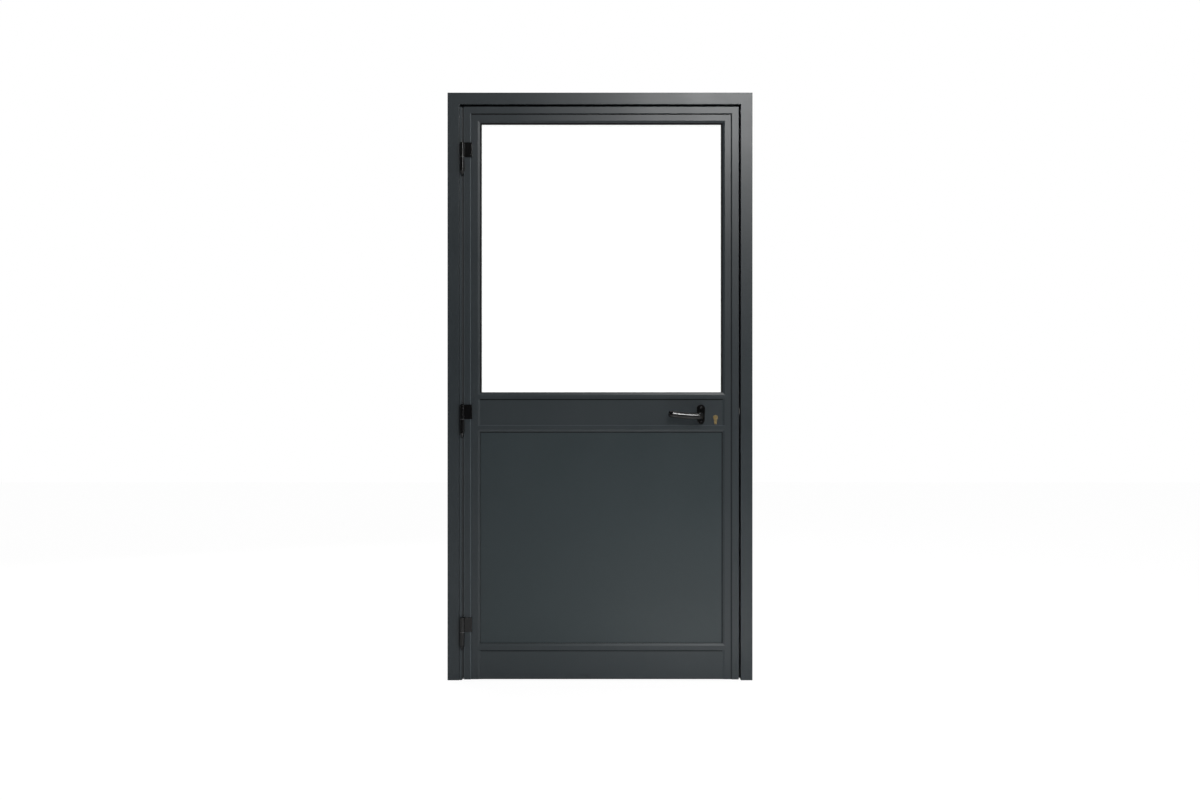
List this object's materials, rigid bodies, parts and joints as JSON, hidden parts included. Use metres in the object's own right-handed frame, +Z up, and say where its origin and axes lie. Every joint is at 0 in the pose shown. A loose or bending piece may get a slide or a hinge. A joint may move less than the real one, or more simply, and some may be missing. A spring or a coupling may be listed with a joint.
{
  "type": "glazed door with frame",
  "caption": "Half-glazed aluminium side door hung in its three-sided frame, with a glass upper light, solid lower panel, lever handles and cylinder lock.",
  "frame": {"origin": "on the floor, under the middle of the frame's width and of the leaf's thickness", "axes": "+Z up, +X towards the lock side, -Y towards the face that carries the hinge knuckles, which the door opens to"},
  "size_m": [1.09, 0.141, 2.1],
  "materials": {
    "anthracite_coat": "satin powder coat",
    "anthracite_panel": "satin coated skins on a foam core",
    "black_hardware": "satin black coat",
    "clear_glass": "clear float glass",
    "black_rubber": "matt",
    "plain_aluminium": "mill finish",
    "steel": "zinc plated or stainless",
    "brass": "brushed",
    "grey_plastic": "moulded",
    "brush_fibre": "dense nylon pile"
  },
  "bodies": {
    "frame": {"left_jamb": "anthracite_coat", "right_jamb": "anthracite_coat", "head": "anthracite_coat", "hinge_side_filler": "anthracite_coat", "strike_plate": "steel", "strike_screws": "steel", "frame_corner_cleats": "plain_aluminium", "stop_seal": "black_rubber", "hinge_lower_top": "black_hardware", "hinge_lower_middle": "black_hardware", "hinge_lower_bottom": "black_hardware", "hinge_pins": "steel", "hinge_washers": "grey_plastic", "frame_hinge_screws": "steel"},
    "leaf": {"back_rose": "black_hardware", "bottom_rail": "anthracite_coat", "cylinder_body": "brass", "cylinder_screw": "steel", "faceplate_screws": "steel", "floor_brush": "brush_fibre", "front_rose": "black_hardware", "glass_back_gasket": "black_rubber", "glass_bead_bottom": "anthracite_coat", "glass_bead_top": "anthracite_coat", "glass_front_gasket": "black_rubber", "glass_side_beads": "anthracite_coat", "glass_spacer": "plain_aluminium", "hinge_clamp_plates": "steel", "hinge_clamp_screws": "steel", "hinge_stile": "anthracite_coat", "hinge_upper_bottom": "black_hardware", "hinge_upper_middle": "black_hardware", "hinge_upper_top": "black_hardware", "inner_pane": "clear_glass", "leaf_corner_cleats": "plain_aluminium", "lock_case": "steel", "lock_cover": "steel", "lock_faceplate": "steel", "lock_stile": "anthracite_coat", "lower_panel": "anthracite_panel", "mid_rail": "anthracite_coat", "outer_pane": "clear_glass", "panel_back_gasket": "black_rubber", "panel_bead_bottom": "anthracite_coat", "panel_bead_top": "anthracite_coat", "panel_front_gasket": "black_rubber", "panel_side_beads": "anthracite_coat", "rail_connectors": "plain_aluminium", "rose_screws": "steel", "setting_blocks": "grey_plastic", "top_rail": "anthracite_coat"},
    "handle": {"front_lever": "black_hardware", "back_lever": "black_hardware", "spindle": "steel", "lever_grub_screws": "steel", "lock_follower": "steel"},
    "latch": {"latch": "steel"},
    "dead_bolt": {"dead_bolt": "steel"},
    "key": {"key_plug": "brass"}
  },
  "joints": [
    {"name": "leaf_swing", "type": "hinge", "parent": "frame", "child": "leaf", "pos_m": [-0.4913, -0.0305, 1], "axis": [0, 0, -1], "range_deg": [0, 175]},
    {"name": "handle_turn", "type": "hinge", "parent": "leaf", "child": "handle", "pos_m": [0.361, 0, 0.944], "axis": [0, -1, 0], "range_deg": [0, 40], "stiffness_Nm_per_rad": 2, "springref_deg": -22.92},
    {"name": "latch_slide", "type": "slide", "parent": "leaf", "child": "latch", "axis": [-1, 0, 0], "range_m": [0, 0.0125]},
    {"name": "key_turn", "type": "hinge", "parent": "leaf", "child": "key", "pos_m": [0.413, 0, 0.939], "axis": [0, 1, 0], "range_deg": [0, 360]},
    {"name": "deadbolt_slide", "type": "slide", "parent": "leaf", "child": "dead_bolt", "axis": [1, 0, 0], "range_m": [0, 0.02]}
  ],
  "couplings": [
    {"joint": "latch_slide", "follows": "handle_turn", "m_per_rad": 0.0179},
    {"joint": "key_turn", "follows": "deadbolt_slide", "rad_per_m": 314.16}
  ]
}
